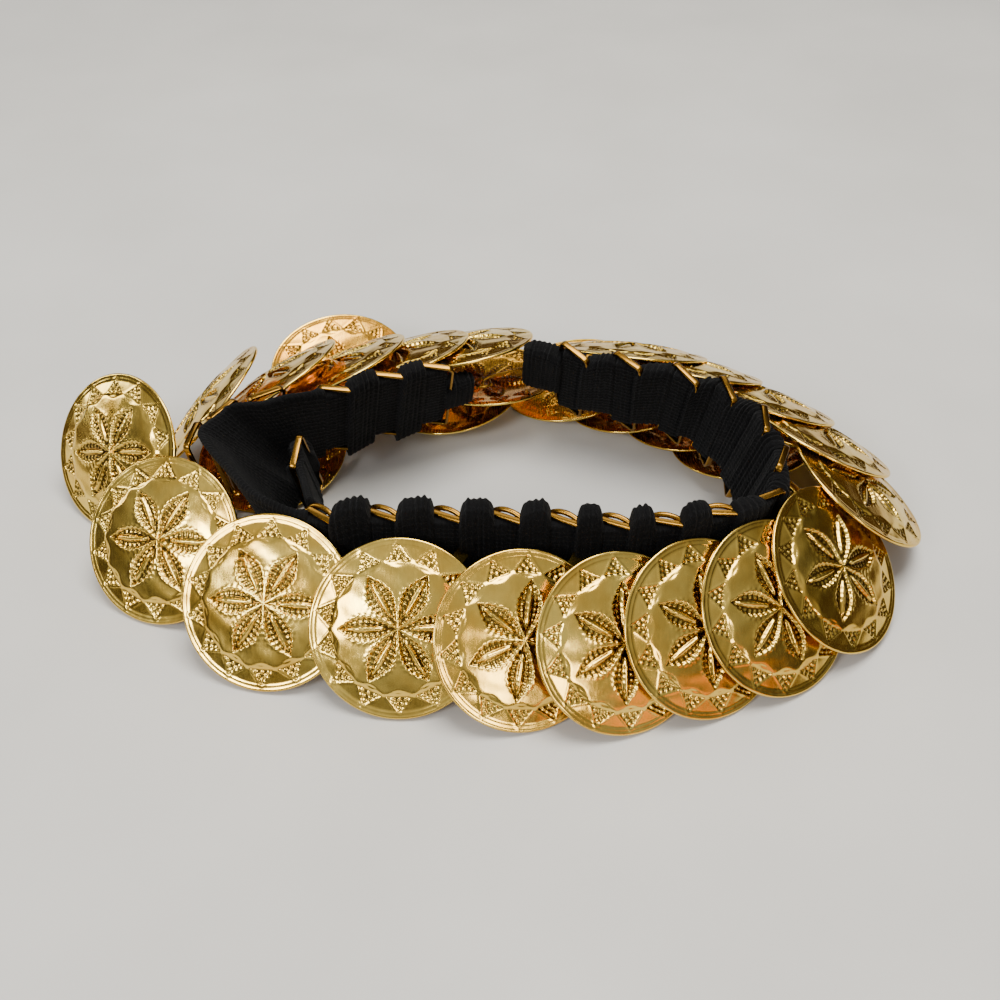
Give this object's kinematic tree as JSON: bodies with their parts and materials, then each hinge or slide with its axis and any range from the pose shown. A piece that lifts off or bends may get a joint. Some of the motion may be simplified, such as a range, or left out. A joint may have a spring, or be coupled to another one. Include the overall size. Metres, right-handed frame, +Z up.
{
  "type": "metal disc belt",
  "caption": "Costume belt of overlapping domed metal discs on flat frames, threaded on a black knitted stretch band, standing in a closed oval loop.",
  "frame": {"origin": "on the surface that the belt stands on, under the middle of the whole belt", "axes": "+Z up, +X to the right of the belt's front, +Y away from its front"},
  "size_m": [0.2868, 0.1885, 0.0537],
  "materials": {
    "black_knit": "matt black rib knit",
    "brass_plate": "polished gold-coloured plating on stamped sheet",
    "brass_wire": "bright wire"
  },
  "bodies": {
    "root": {"knit_band": "black_knit", "knit_fold": "black_knit", "frame_01": "brass_plate", "frame_02": "brass_plate", "frame_03": "brass_plate", "frame_04": "brass_plate", "frame_05": "brass_plate", "frame_06": "brass_plate", "frame_07": "brass_plate", "frame_08": "brass_plate", "frame_09": "brass_plate", "frame_10": "brass_plate", "frame_11": "brass_plate", "frame_12": "brass_plate", "frame_13": "brass_plate", "frame_14": "brass_plate", "frame_15": "brass_plate", "frame_16": "brass_plate", "frame_17": "brass_plate", "frame_18": "brass_plate", "frame_19": "brass_plate", "frame_20": "brass_plate", "frame_21": "brass_plate", "frame_22": "brass_plate", "disc_01": "brass_plate", "disc_02": "brass_plate", "disc_03": "brass_plate", "disc_04": "brass_plate", "disc_05": "brass_plate", "disc_06": "brass_plate", "disc_07": "brass_plate", "disc_08": "brass_plate", "disc_09": "brass_plate", "disc_10": "brass_plate", "disc_11": "brass_plate", "disc_12": "brass_plate", "disc_13": "brass_plate", "disc_14": "brass_plate", "disc_15": "brass_plate", "disc_16": "brass_plate", "disc_17": "brass_plate", "disc_18": "brass_plate", "disc_19": "brass_plate", "lower_disc_01": "brass_plate", "lower_disc_02": "brass_plate", "lower_disc_03": "brass_plate", "lower_disc_04": "brass_plate", "lower_disc_05": "brass_plate", "lower_disc_06": "brass_plate", "lower_disc_07": "brass_plate", "lower_disc_08": "brass_plate", "hook": "brass_wire", "eye": "brass_wire"}
  },
  "joints": []
}
